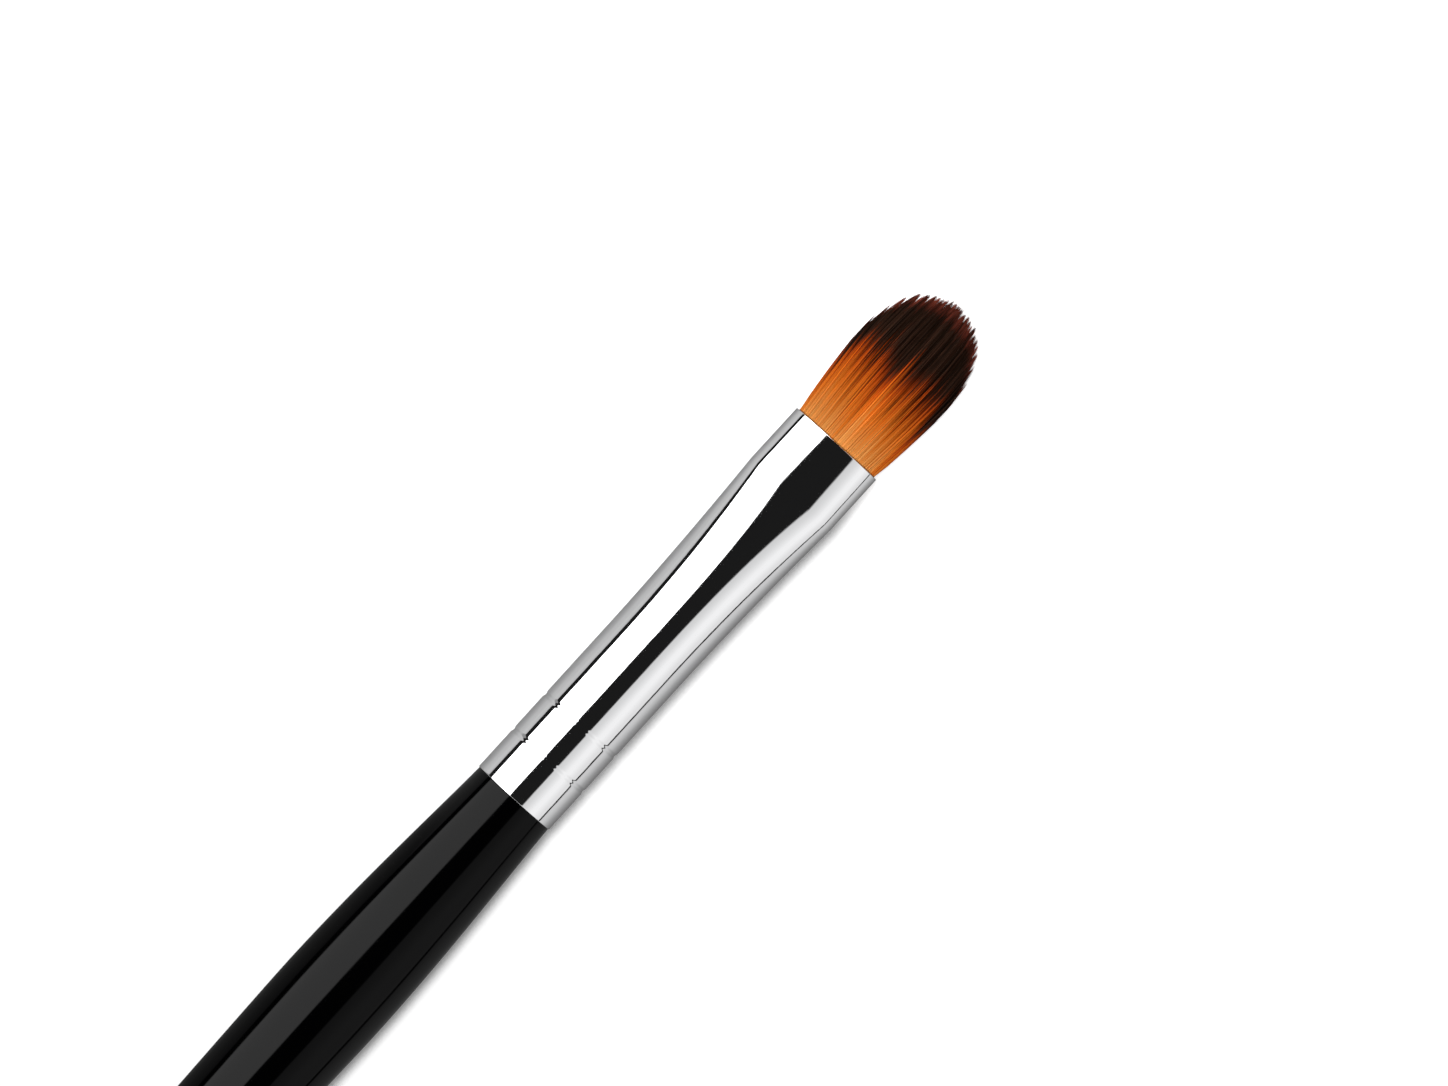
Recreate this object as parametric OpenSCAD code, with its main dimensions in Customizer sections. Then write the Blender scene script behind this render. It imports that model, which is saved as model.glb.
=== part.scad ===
// Eyeshadow brush: a lacquered wooden handle, a crimped and flattened ferrule, and an oval tuft.
// The brush lies along X with its tuft towards +X. The tuft's flat face looks up, along +Z.
// The origin is the middle of its length, on the surface that its handle's belly rests on.
// A station is a distance along the brush from the handle's shoulder, where the ferrule begins.

/* [Handle] */
// Length of the handle that shows, from the ferrule to the tail
handle_length = 117; // [90:1:180]
// Diameter of the handle at its belly, its thickest place
belly_d = 8.5; // [7.4:0.1:11]
// Distance from the shoulder back to the belly
belly_offset = 20.4; // [12:0.1:40]
// Diameter of the handle at its tail, before the rounded end
tail_d = 3.6; // [2.4:0.1:6]
// Length of the rounded end of the tail
tail_round = 1.6; // [0.8:0.1:4]
// How far the lacquered shoulder lies below the ferrule's surface
shoulder_drop = 0.07; // [0.02:0.01:0.2]

/* [Tenon] */
// Length of the tenon inside the ferrule
tenon_length = 11.5; // [10:0.1:14]
// Size of the chamfer round the tenon's end
tenon_chamfer = 0.6; // [0.2:0.1:1.2]
// Thickness of the adhesive between the tenon and the ferrule
glue_film = 0.1; // [0.05:0.01:0.2]
// Distance from the shoulder to the start of the adhesive
glue_start = 0.8; // [0.4:0.1:2]

/* [Ferrule] */
// Diameter of the ferrule where it is round
ferrule_d = 7; // [6.4:0.1:7.6]
// Length of the ferrule
ferrule_length = 35.5; // [33:0.1:45]
// Thickness of the ferrule's wall
ferrule_wall = 0.3; // [0.2:0.01:0.4]
// Distance from the shoulder to where the ferrule begins to flatten
flatten_start = 14.5; // [12:0.1:18]
// Length of the flat band at the mouth, from the crease
mouth_band = 5; // [3:0.1:6]
// Thickness of the ferrule at the crease
crease_thickness = 5.36; // [4.8:0.02:6.2]
// Width of the mouth
mouth_width = 7.95; // [7.6:0.05:9]
// Thickness of the mouth
mouth_thickness = 5.5; // [4.8:0.02:6.2]

/* [Crimps] */
// Number of crimp rings
crimp_count = 2; // [1:1:2]
// Distance from the shoulder to the first crimp ring
crimp_offset = 3.8; // [2.4:0.1:4.4]
// Distance between the crimp rings
crimp_pitch = 3.5; // [2:0.1:3.8]
// Width of a crimp ring
crimp_width = 0.6; // [0.4:0.1:1.6]
// Depth of a crimp ring
crimp_depth = 0.06; // [0.03:0.01:0.2]

/* [Tuft] */
// Length of the tuft outside the mouth
tuft_length = 13.75; // [11:0.05:18]
// Width of the tuft at its widest
tuft_width = 8.85; // [8.2:0.05:10]
// Thickness of the tuft at its fullest
tuft_thickness = 6; // [5.4:0.1:7]
// Thickness that the middle of the fan narrows to at the tip
tip_thickness = 4.2; // [3.2:0.1:5]
// Distance from the mouth to where the tuft is widest and its rounded end begins
tuft_shoulder = 7.6; // [5:0.1:9]
// Depth of the filaments' roots below the mouth's rim
mouth_recess = 0.3; // [0.1:0.1:0.6]
// Rings of filaments from the middle to the edge, which give three times their square in filaments
filament_rings = 12; // [10:1:12]
// Spread of the filaments' tips along the brush
tip_scatter = 0.45; // [0:0.05:0.8]

/* [Root] */
// Length of the tuft's root inside the ferrule
root_length = 11.5; // [10.5:0.1:13]
// Distance from the mouth to the middle of the binding
tie_depth = 9; // [8.6:0.1:9.2]
// How far the binding draws the root in from the ferrule's wall
tie_squeeze = 0.65; // [0.6:0.05:0.8]
// How far the root's end lies in from the ferrule's wall
root_squeeze = 0.3; // [0.2:0.05:0.4]
// Distance from the mouth to where the root fills the ferrule
root_fill_depth = 5.6; // [5:0.1:6]
// Diameter of the binding thread
thread_d = 0.3; // [0.2:0.02:0.32]
// Turns of the binding thread
thread_turns = 5; // [2:1:5]
// Gap between two turns of the binding thread
thread_gap = 0.08; // [0.04:0.01:0.1]
// Distance from the mouth to the front of the resin
resin_depth = 6.6; // [6.2:0.1:6.8]
// Length of the resin behind the root
resin_back = 2.6; // [1:0.1:4]

/* [Clearances] */
// Gap between pieces that are set against a pressed or wound surface
set_gap = 0.03; // [0.02:0.01:0.05]
// Step in each face of the ferrule where its pressed part meets its round part
seam_inset = 0.015; // [0.015:0.001:0.02]

/* [Fineness] */
// Sides of the flattened ferrule and of the resin
tube_sides = 48; // [40:4:56]
// Steps along the flattening of the ferrule
flatten_steps = 12; // [8:1:14]
// Steps along each crimp ring
crimp_steps = 8; // [6:2:12]
// Steps along each stretch of the handle
handle_steps = 24; // [12:1:40]
// Steps round the rounded tail
tail_steps = 8; // [4:1:12]
// Steps in one turn of the binding thread
thread_steps = 24; // [16:2:30]
// Sides of the binding thread
thread_sides = 6; // [5:1:8]

/* [Hidden] */

// Exponent of the mouth's outline, between an ellipse at 2 and a box
mouth_power = 2.35;
// Exponents of the ferrule's widening and thinning: over 1 starts softly and ends in a crease
widen_power = 1.8;
press_power = 2.5;
// Exponents of the handle's swelling to the belly and of its taper to the tail
swell_power = 1.15;
taper_power = 1.2;
// Exponent of the fan's narrowing towards the tip
narrowing_power = 1.5;
// Height of a filament's two rings, the first as a share of the tuft's shoulder
bend_share = 0.33;
neck_share = 0.9;
// Width of a filament at those rings, as shares of its root
bend_width_share = 0.8;
neck_width_share = 0.6;
// How far a filament's root strays within its place, as a share of that place
stray_share = 0.22;
// Turn of each ring of filaments past the ring outside it, in degrees
ring_turn = 2;
// Seeds of the filaments' stray and scatter
stray_seed = 11;
scatter_seed = 5;

ferrule_r = ferrule_d / 2;
belly_r = belly_d / 2;
tail_r = tail_d / 2;
thread_r = thread_d / 2;
shoulder_r = ferrule_r - shoulder_drop;
crease = ferrule_length - mouth_band;
total_length = handle_length + ferrule_length + tuft_length;
shoulder_x = handle_length - total_length / 2;
root_top = ferrule_length - mouth_recess;
root_end = ferrule_length - root_length;
tie_middle = ferrule_length - tie_depth;
thread_pitch = thread_d + thread_gap;
tie_half = (thread_turns * thread_pitch + thread_d) / 2 + set_gap;
tie_back = tie_middle - tie_half;
tie_front = tie_middle + tie_half;
root_full = ferrule_length - root_fill_depth;
resin_front = ferrule_length - resin_depth;
resin_end = root_end - resin_back;

function mix(a, b, share) = a + (b - a) * share;
function signed_power(v, p) = sign(v) * pow(abs(v), p);

// How far the pressing has gone at a station: 0 where the ferrule is round, 1 from the crease on
function pressed(s) = min(1, max(0, (s - flatten_start) / (crease - flatten_start)));
function half_width(s) = mix(ferrule_r, mouth_width / 2, pow(pressed(s), widen_power));
function half_thickness(s) = s > crease
    ? mix(crease_thickness, mouth_thickness, (s - crease) / mouth_band) / 2
    : mix(ferrule_r, crease_thickness / 2, pow(pressed(s), press_power));
function outline_power(s) = mix(2, mouth_power, pow(pressed(s), press_power));

// A point of the section at a station, drawn in by inset from the ferrule's outer face
function section_point(s, a, inset) =
    let (p = 2 / outline_power(s))
    [s, (half_width(s) - inset) * signed_power(cos(a), p),
        (half_thickness(s) - inset) * signed_power(sin(a), p)];
function section_ring(s, inset, sides) =
    [for (i = [0 : sides - 1]) section_point(s, 360 * i / sides, inset)];

// Depth of the crimps at a station, and the round surfaces that share them
function crimp_dip(s) =
    max([for (i = [0 : crimp_count - 1])
        let (d = abs(s - crimp_offset - i * crimp_pitch) / (crimp_width / 2))
        d < 1 ? crimp_depth * (1 + cos(180 * d)) / 2 : 0]);
function crimp_stations() =
    [for (i = [0 : crimp_count - 1]) for (j = [0 : crimp_steps])
        crimp_offset + i * crimp_pitch + crimp_width * (j / crimp_steps - 0.5)];
function barrel_line(from, to, inset) =
    [for (s = concat([from], crimp_stations(), [to])) [ferrule_r - inset - crimp_dip(s), s]];

// How far in from the ferrule's outer face the tuft's root lies at a station
wall_inset = ferrule_wall + set_gap;
tie_inset = ferrule_wall + tie_squeeze;
function root_inset(s) = lookup(s, [
    [root_end, ferrule_wall + root_squeeze],
    [tie_back, tie_inset],
    [tie_front, tie_inset],
    [root_full, wall_inset]
]);

// The order of a list turned round
function reversed(list) = [for (i = [len(list) - 1 : -1 : 0]) list[i]];

// Faces between rings of the same number of points
function band_faces(rings, sides, loop) =
    [for (i = [0 : rings - (loop ? 1 : 2)]) for (j = [0 : sides - 1])
        let (a = i * sides, b = (i + 1) % rings * sides, k = (j + 1) % sides)
        each [[a + j, b + j, b + k], [a + j, b + k, a + k]]];
// A flat end on a ring, as triangles from its first point
function end_faces(first, sides, front) =
    [for (j = [1 : sides - 2])
        front ? [first, first + j + 1, first + j] : [first, first + j, first + j + 1]];
function flat(lists) = [for (l = lists) each l];

// A solid through rings of points, closed by flat ends
module stacked(rings) {
    sides = len(rings[0]);
    last = (len(rings) - 1) * sides;
    polyhedron(flat(rings), concat(band_faces(len(rings), sides, false),
        end_faces(0, sides, false), end_faces(last, sides, true)));
}

// A tube through rings of points, which runs back to its first ring
module looped(rings) {
    polyhedron(flat(rings), band_faces(len(rings), len(rings[0]), true));
}

// Turns a profile of radius and station round the brush's axis
module turned(profile) {
    rotate([0, 90, 0]) rotate_extrude($fn = 96) polygon(profile);
}

// Lays the brush at its place in the frame
module placed() {
    translate([shoulder_x, 0, belly_r]) children();
}

function swell_r(share) = mix(shoulder_r, belly_r, pow(sin(90 * share), swell_power));
function taper_r(share) = mix(belly_r, tail_r, pow(share, taper_power));

module handle() {
    taper_length = handle_length - belly_offset - tail_round;
    tail = [for (i = [0 : tail_steps - 1])
        let (a = 90 * i / tail_steps) [tail_r * sin(a), -handle_length + tail_round * (1 - cos(a))]];
    taper = [for (i = [0 : handle_steps])
        let (share = 1 - i / handle_steps) [taper_r(share), -belly_offset - taper_length * share]];
    swell = [for (i = [1 : handle_steps])
        let (share = 1 - i / handle_steps) [swell_r(share), -belly_offset * share]];
    tenon = barrel_line(0, tenon_length - tenon_chamfer, ferrule_wall + glue_film);
    tenon_end = [
        [ferrule_r - ferrule_wall - glue_film - tenon_chamfer, tenon_length],
        [0, tenon_length]
    ];
    color([0.05, 0.05, 0.055]) placed() turned(concat(tail, taper, swell, tenon, tenon_end));
}

module ferrule() {
    steps = [for (i = [0 : flatten_steps]) mix(flatten_start, crease, i / flatten_steps)];
    stations = concat(steps, [ferrule_length]);
    function seam(s) = s == flatten_start ? seam_inset : 0;
    outer = [for (s = stations) section_ring(s, seam(s), tube_sides)];
    inner = [for (s = reversed(stations)) section_ring(s, ferrule_wall - seam(s), tube_sides)];
    color([0.8, 0.81, 0.83]) placed() {
        turned(concat(barrel_line(0, flatten_start, 0),
            reversed(barrel_line(0, flatten_start, ferrule_wall))));
        looped(concat(outer, inner));
    }
}

module tenon_glue() {
    outer = barrel_line(glue_start, tenon_length - tenon_chamfer, ferrule_wall);
    inner = barrel_line(glue_start, tenon_length - tenon_chamfer, ferrule_wall + glue_film);
    color([0.86, 0.78, 0.55]) placed() turned(concat(outer, reversed(inner)));
}

module root_plug() {
    outer = [for (i = [0 : flatten_steps])
        section_ring(mix(resin_end, resin_front, i / flatten_steps), wall_inset, tube_sides)];
    thread_room = tie_inset - thread_d - 2 * set_gap;
    cavity = [
        [resin_front, root_inset(resin_front) - set_gap],
        [tie_front, tie_inset - set_gap],
        [tie_front, thread_room],
        [tie_back, thread_room],
        [tie_back, tie_inset - set_gap],
        [root_end - set_gap, root_inset(root_end) - set_gap]
    ];
    inner = [for (c = cavity) section_ring(c[0], c[1], tube_sides)];
    color([0.74, 0.62, 0.36]) placed() stacked(concat(outer, inner));
}

module binding_thread() {
    turn = thread_turns * thread_steps;
    function path(i) = section_point(
        tie_middle + thread_pitch * (i - turn / 2) / thread_steps,
        360 * i / thread_steps, tie_inset - set_gap - thread_r);
    rings = [for (i = [0 : turn])
        let (along = path(i + 1) - path(i - 1), t = along / norm(along),
             side = cross(t, [1, 0, 0]), u = side / norm(side), v = cross(t, u))
        [for (j = [0 : thread_sides - 1])
            let (a = 360 * j / thread_sides) path(i) + thread_r * (cos(a) * u + sin(a) * v)]];
    color([0.93, 0.91, 0.86]) placed() stacked(rings);
}

// The filaments stand on every second triangle of a round lattice, whose ring k holds 6k points.
// A point of the lattice is named by its ring and its place in that ring.
function lattice_index(k, j) = k == 0 ? 0 : 1 + 3 * k * (k - 1) + j % (6 * k);
function lattice_points() =
    let (count = 3 * filament_rings * (filament_rings + 1) + 1,
         stray = rands(-stray_share, stray_share, 2 * count, stray_seed))
    concat([[0, 0]], [for (k = [1 : filament_rings]) for (j = [0 : 6 * k - 1])
        let (free = k < filament_rings ? 1 : 0, i = lattice_index(k, j))
        [(k + free * stray[i]) / filament_rings,
            60 * (j + free * stray[count + i]) / k + ring_turn * (filament_rings - k)]]);
function wide_triangle(q, k, i) =
    [lattice_index(k - 1, q * (k - 1) + i), lattice_index(k, q * k + i), lattice_index(k, q * k + i + 1)];
function narrow_triangle(q, k, i) =
    [lattice_index(k - 1, q * (k - 1) + i), lattice_index(k, q * k + i + 1),
     lattice_index(k - 1, q * (k - 1) + i + 1)];
function wide_triangles(first) =
    [for (q = [first : 2 : 5]) for (k = [1 : filament_rings]) for (i = [0 : k - 1])
        wide_triangle(q, k, i)];
function narrow_triangles(first) =
    [for (q = [first : 2 : 5]) for (k = [2 : filament_rings]) for (i = [0 : k - 2])
        narrow_triangle(q, k, i)];

// How much wider and thicker the fan of filaments is than its root, at a height above the root
root_half_width = half_width(root_top) - wall_inset;
root_half_thickness = half_thickness(root_top) - wall_inset;
fan_height = tuft_shoulder + mouth_recess;
tuft_height = tuft_length + mouth_recess;
edge_share = 1 - 1 / (3 * filament_rings);
function fan_factor(full, root) =
    (full / 2 - (1 - edge_share) * neck_width_share * root) / (edge_share * root);
fullest = fan_factor(tuft_thickness, root_half_thickness);
finest = fan_factor(tip_thickness, root_half_thickness);
function fan_width(h) =
    mix(1, fan_factor(tuft_width, root_half_width), sin(90 * min(1, h / fan_height)));
function fan_thickness(h) = h < fan_height
    ? mix(1, fullest, sin(90 * h / fan_height))
    : mix(fullest, finest, pow((h - fan_height) / (tuft_height - fan_height), narrowing_power));
// Height at which the oval end cuts a filament that stands at a share of the way to the edge
function cut_height(share) = mix(fan_height, tuft_height, sqrt(max(0, 1 - share * share)));

function filament_ring(corners, middle, h, width_share) =
    [for (c = corners)
        let (p = middle + (c - middle) * width_share)
        [root_top + h, middle[1] * fan_width(h) + p[1] - middle[1],
            middle[2] * fan_thickness(h) + p[2] - middle[2]]];

module bristle_tuft() {
    lattice = lattice_points();
    rim_sides = 6 * filament_rings;
    top = [for (p = lattice)
        let (rim = section_point(root_top, p[1], wall_inset)) [root_top, rim[1] * p[0], rim[2] * p[0]]];
    stands = concat(wide_triangles(0), narrow_triangles(1));
    flats = concat(wide_triangles(1), narrow_triangles(0));

    scatter = rands(0, tip_scatter, len(stands), scatter_seed);
    filaments = [for (i = [0 : len(stands) - 1])
        let (corners = [for (v = stands[i]) top[v]],
             middle = (corners[0] + corners[1] + corners[2]) / 3,
             share = (lattice[stands[i][0]][0] + lattice[stands[i][1]][0] + lattice[stands[i][2]][0]) / 3,
             height = cut_height(share) - scatter[i],
             bend = bend_share * tuft_shoulder, neck = neck_share * height)
        concat(filament_ring(corners, middle, bend, bend_width_share),
            filament_ring(corners, middle, neck, neck_width_share),
            [filament_ring([middle], middle, height, 1)[0]])];
    first = len(top);
    per_filament = 7;
    filament_faces = [for (i = [0 : len(stands) - 1])
        let (root = stands[i], a = first + i * per_filament,
             ring_1 = [a, a + 1, a + 2], ring_2 = [a + 3, a + 4, a + 5], tip = a + 6)
        each concat(side_faces(root, ring_1), side_faces(ring_1, ring_2),
            [for (j = [0 : 2]) [ring_2[j], tip, ring_2[(j + 1) % 3]]])];

    root_stations = [root_full, tie_front, tie_back, root_end];
    rims = [for (s = root_stations) section_ring(s, root_inset(s), rim_sides)];
    rim_first = first + len(stands) * per_filament;
    upper_rim = first - rim_sides;
    root_faces = concat(
        [for (j = [0 : rim_sides - 1])
            let (k = (j + 1) % rim_sides)
            each [[rim_first + j, upper_rim + j, upper_rim + k],
                  [rim_first + j, upper_rim + k, rim_first + k]]],
        [for (i = [0 : len(rims) - 2]) for (j = [0 : rim_sides - 1])
            let (a = rim_first + i * rim_sides, b = a + rim_sides, k = (j + 1) % rim_sides)
            each [[b + j, a + j, a + k], [b + j, a + k, b + k]]],
        end_faces(rim_first + (len(rims) - 1) * rim_sides, rim_sides, false));

    color([0.87, 0.45, 0.13]) placed()
        polyhedron(concat(top, flat(filaments), flat(rims)),
            concat([for (f = flats) reversed(f)], filament_faces, root_faces));
}
// Two faces on each side of a three-sided filament, from one ring to the next
function side_faces(a, b) =
    [for (j = [0 : 2]) let (k = (j + 1) % 3) each [[a[j], b[j], b[k]], [a[j], b[k], a[k]]]];

handle();
ferrule();
bristle_tuft();
root_plug();
binding_thread();
tenon_glue();
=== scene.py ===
"""Looks of the eyeshadow brush, built round its packed CAD model.

The brush lies along X with its tuft towards +X and the tuft's flat face up. A station is a distance
along the brush from the handle's shoulder, where the ferrule begins. All sizes are in metres.
"""
import math

import bmesh
import bpy
import numpy as np
from bpy.props import FloatProperty, FloatVectorProperty, IntProperty, PointerProperty
from mathutils import Euler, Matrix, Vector


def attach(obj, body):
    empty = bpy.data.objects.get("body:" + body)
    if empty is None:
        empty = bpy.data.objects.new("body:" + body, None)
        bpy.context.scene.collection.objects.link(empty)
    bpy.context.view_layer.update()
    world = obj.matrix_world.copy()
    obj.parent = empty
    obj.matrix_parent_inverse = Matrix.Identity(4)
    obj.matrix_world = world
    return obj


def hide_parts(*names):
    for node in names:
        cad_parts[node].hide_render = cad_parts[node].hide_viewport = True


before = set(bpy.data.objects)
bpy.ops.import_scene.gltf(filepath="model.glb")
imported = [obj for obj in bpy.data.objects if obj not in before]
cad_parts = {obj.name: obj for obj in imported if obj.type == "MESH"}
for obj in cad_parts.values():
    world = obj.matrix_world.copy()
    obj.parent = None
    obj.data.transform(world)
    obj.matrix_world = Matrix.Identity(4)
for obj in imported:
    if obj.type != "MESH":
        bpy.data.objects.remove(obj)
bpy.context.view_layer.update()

bl_info = {
    "name": "Eyeshadow Brush",
    "version": (1, 0, 0),
    "blender": (4, 5, 0),
    "location": "View3D > Sidebar > Brush",
    "description": "Builds a flat eyeshadow brush with a lacquered handle and a dyed tuft",
    "category": "Object",
}

BODY = "root"
MM = 0.001
# Points closer together than this are one, in metres, and along the seam of a tube of radius 1
MERGE_GAP = 1e-7
SEAM_GAP = 1e-5
# Brightness that the material adds to a filament's tone
TONE_FLOOR = 0.44
# Width of the camera's sensor in millimetres
SENSOR_WIDTH = 36.0


def length(name, description, size_mm):
    """A size that is set in millimetres here and kept in metres."""
    return FloatProperty(
        name=name, description=description, default=size_mm * MM, min=0, precision=5, unit="LENGTH"
    )


def share(name, description, default, top=1.0):
    """A plain number, such as a share or a strength."""
    return FloatProperty(name=name, description=description, default=default, min=0, max=top)


def count(name, description, default, least=1):
    return IntProperty(name=name, description=description, default=default, min=least)


def colour(name, description, default):
    return FloatVectorProperty(
        name=name, description=description, default=default, min=0, max=1, size=3, subtype="COLOR"
    )


# Painted reflection: the floor's colour for reflections only, with painted shade under the brush and dark
# strips far off, as millimetres from the brush towards its left, and brightness
PAINTED_REFLECTION_STRIPS = (
    (-250, 0.02),
    (-82, 0.02),
    (-73, 0.60),
    (-30, 0.60),
    (-22, 0.56),
    (-15, 0.47),
    (-9.4, 0.295),
    (-5.6, 0.17),
    (0, 0.14),
    (5, 0.22),
    (8.7, 0.30),
    (14, 0.46),
    (30, 0.54),
    (225, 0.46),
    (235, 0.02),
    (250, 0.02),
)
# The room as the brush mirrors it: degrees from overhead towards its right, and brightness
PANELS = (
    (-180, 0.01),
    (-79.5, 0.01),
    (-78.5, 3.8),
    (-12.9, 3.8),
    (-11.7, 0.011),
    (27.7, 0.011),
    (28.7, 0.66),
    (40, 0.75),
    (56, 0.95),
    (65, 0.96),
    (82, 0.80),
    (95, 0.78),
    (100, 0.01),
    (180, 0.01),
)
# Towards -X the room is even: where that begins and is full, as X of the direction
BEHIND_START = -0.78
BEHIND_END = -0.95
BEHIND_LEVEL = (0.75, 0.75, 0.75)
# Painted shade in the reflection: the floor as the handle mirrors it on its left is darkened, from this
# stretch behind the shoulder on
DIM_SHARE = 0.5
DIM_START = 1 * MM
DIM_END = 6 * MM
# The floor's colour as seen, that of its grain, and that of the light it throws back
FLOOR_SEEN = (0.90, 0.90, 0.90)
FLOOR_GRAIN = (0.86, 0.86, 0.86)
FLOOR_BOUNCE = (0.42, 0.42, 0.42)
GRAIN_SHARE = 0.02
# The floor's glow for the camera: weak everywhere, and a painted pool of light that grows to full round
# the mouth and clears the tuft's shadow
GLOW_WEAK = 0.16
GLOW_FULL = 0.85
GLOW_BEFORE = 6 * MM
GLOW_PAST = 2 * MM


class HandleSizes(bpy.types.PropertyGroup):
    """The turned and lacquered handle."""

    handle_length: length("Length", "Length of the handle that shows", 117)
    belly_radius: length("Belly radius", "Radius at the thickest place", 4.25)
    belly_offset: length("Belly offset", "Distance from the shoulder to the belly", 20.4)
    shoulder_radius: length("Shoulder radius", "Radius where the ferrule begins", 3.43)
    shoulder_round: length("Shoulder round", "Radius of the lacquer's rounded shoulder", 0.05)
    tail_radius: length("Tail radius", "Radius before the rounded end", 1.8)
    tail_round: length("Tail round", "Length of the tail's rounded end", 1.6)
    taper_power: share("Taper power", "How late it thins towards the tail, 1 being even", 1.2, 4.0)
    swell_power: share("Swell power", "How late the shoulder swells to the belly", 1.15, 4.0)
    tenon_length: length("Tenon length", "Length of the tenon inside the ferrule", 11.5)
    tenon_chamfer: length("Tenon chamfer", "Chamfer round the tenon's end", 0.6)
    glue_film: length("Glue film", "Adhesive between the tenon and the ferrule", 0.1)
    segments: count("Segments", "Segments round the handle", 144, 12)
    lacquer: colour("Lacquer", "Colour of the lacquer", (0.0002, 0.0002, 0.00025))


class FerruleSizes(bpy.types.PropertyGroup):
    """The drawn, crimped and flattened ferrule."""

    ferrule_length: length("Length", "Length of the ferrule", 35.5)
    round_radius: length("Round radius", "Radius where it is round", 3.5)
    wall: length("Wall", "Thickness of the wall", 0.3)
    flatten_start: length("Flattening start", "Where it begins to flatten", 14.5)
    mouth_band: length("Mouth band", "Length of the band at the mouth", 5)
    crease_thickness: length("Crease thickness", "Thickness at the crease", 5.36)
    mouth_width: length("Mouth width", "Width of the mouth", 7.95)
    mouth_thickness: length("Mouth thickness", "Thickness of the mouth", 5.5)
    mouth_roll: share("Mouth roll", "Turn of the flat mouth about the brush, in degrees", 1.1, 10.0)
    widen_power: share("Widen power", "How late the pressed stretch widens", 1.8, 4.0)
    press_power: share("Press power", "How late the pressed stretch thins", 2.5, 4.0)
    crease_power: share("Crease power", "Exponent of the outline at the crease, 2 being oval", 2.41, 10.0)
    mouth_power: share("Mouth power", "Exponent of the outline at the mouth, 2 being oval", 2.32, 10.0)
    crimps: count("Crimps", "Number of crimp rings", 2)
    crimp_offset: length("Crimp offset", "Where the first crimp ring lies", 3.8)
    crimp_pitch: length("Crimp pitch", "Distance between the crimp rings", 3.5)
    crimp_width: length("Crimp width", "Width of a crimp ring", 0.6)
    crimp_depth: length("Crimp depth", "Depth of a crimp ring", 0.075)
    crease_round: length("Crease round", "How far the crease is rounded to each side", 0.05)
    rim_round: length("Rim round", "Radius of the rounded edges", 0.06)
    segments: count("Segments", "Segments round the ferrule", 192, 12)
    plating: colour("Plating", "Colour of the plating", (0.93, 0.93, 0.94))


class TuftSizes(bpy.types.PropertyGroup):
    """The tuft of tapered filaments."""

    tuft_length: length("Length", "Length outside the mouth", 13.75)
    tuft_width: length("Width", "Width at the widest place", 8.85)
    tuft_thickness: length("Thickness", "Thickness at the fullest place", 5.9)
    tuft_shoulder: length("Shoulder", "Where it is widest, from the mouth", 7.6)
    lip_spread: length("Lip spread", "How far filaments spread over the lip", 0.09)
    lip_reach: length("Lip reach", "Height over which they spread", 0.4)
    straightness: share("Straightness", "Share that opens evenly, the rest being round", 0.5)
    fullness: share("Fullness", "Width of the fan as a share of the tuft's", 1.01, 2.0)
    end_closing: share("End closing", "Share of the width lost at the end", 0.22)
    root_clearance: length("Root clearance", "Gap between the filaments and the wall", 0.03)
    root_reach: length("Root reach", "How far the filaments reach into the ferrule", 1.1)
    filament_radius: length("Filament radius", "Radius of a filament before its taper", 0.047)
    filaments: count("Filaments", "Filaments in each of three layers", 1400)
    clumps: count("Clumps", "Clumps that the filaments gather in", 300)
    teeth: count("Teeth", "Pointed locks along the rounded end", 25)
    # the streaks are painted shade in the gaps between locks, and a few are painted highlights
    streaks: count("Streaks", "Thin streaks, most of them dark", 190)
    tooth_depth: length("Tooth depth", "Depth of the notches between the locks", 0.75)
    tooth_scatter: length("Tooth scatter", "How much shorter than the rest a lock can be", 0.28)
    clump_pull: share("Clump pull", "How far a clump closes up at its end", 0.42)
    tooth_pull: share("Tooth pull", "How far a lock closes up at its tip", 0.34)
    tooth_reach: length("Tooth reach", "Length over which a lock closes up", 1.0)
    sway: length("Sway", "Spread of the filaments' tips to all sides", 0.045)
    taper_length: length("Taper length", "Length of a filament's taper", 4.2)
    seed: count("Seed", "Seed of the filaments' scatter", 7)


class DyeSettings(bpy.types.PropertyGroup):
    """The colours of the filaments and where the dye ends."""

    root_tan: colour("Root", "Colour at the mouth", (0.74, 0.31, 0.075))
    orange: colour("Orange", "Colour in the middle", (0.69, 0.17, 0.016))
    amber: colour("Amber", "Colour before the dye", (0.58, 0.112, 0.009))
    copper: colour("Copper", "Colour where the dye begins", (0.41, 0.057, 0.005))
    russet: colour("Russet", "Colour where the dye is thin", (0.17, 0.023, 0.004))
    umber: colour("Umber", "Colour where the dye is nearly full", (0.05, 0.012, 0.005))
    dyed: colour("Dyed", "Colour of the dyed ends", (0.0130, 0.0056, 0.0034))
    tips: colour("Tips", "Colour of the last of the dyed ends", (0.15, 0.030, 0.018))
    lift: length("Lift", "How much higher the dye begins", 0.45)
    clump_spread: length("Clump spread", "Spread of the dye's start between clumps", 0.50)
    strand_spread: length("Strand spread", "Spread of the dye's start within a clump", 0.55)
    edge_drop: length("Edge drop", "How much lower it begins at the edges", 1.5)
    side_drop: length("Side drop", "How much lower it begins towards both sides", 0.4)
    right_drop: length("Right drop", "How much lower it begins on the right side", 0.5)


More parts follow.
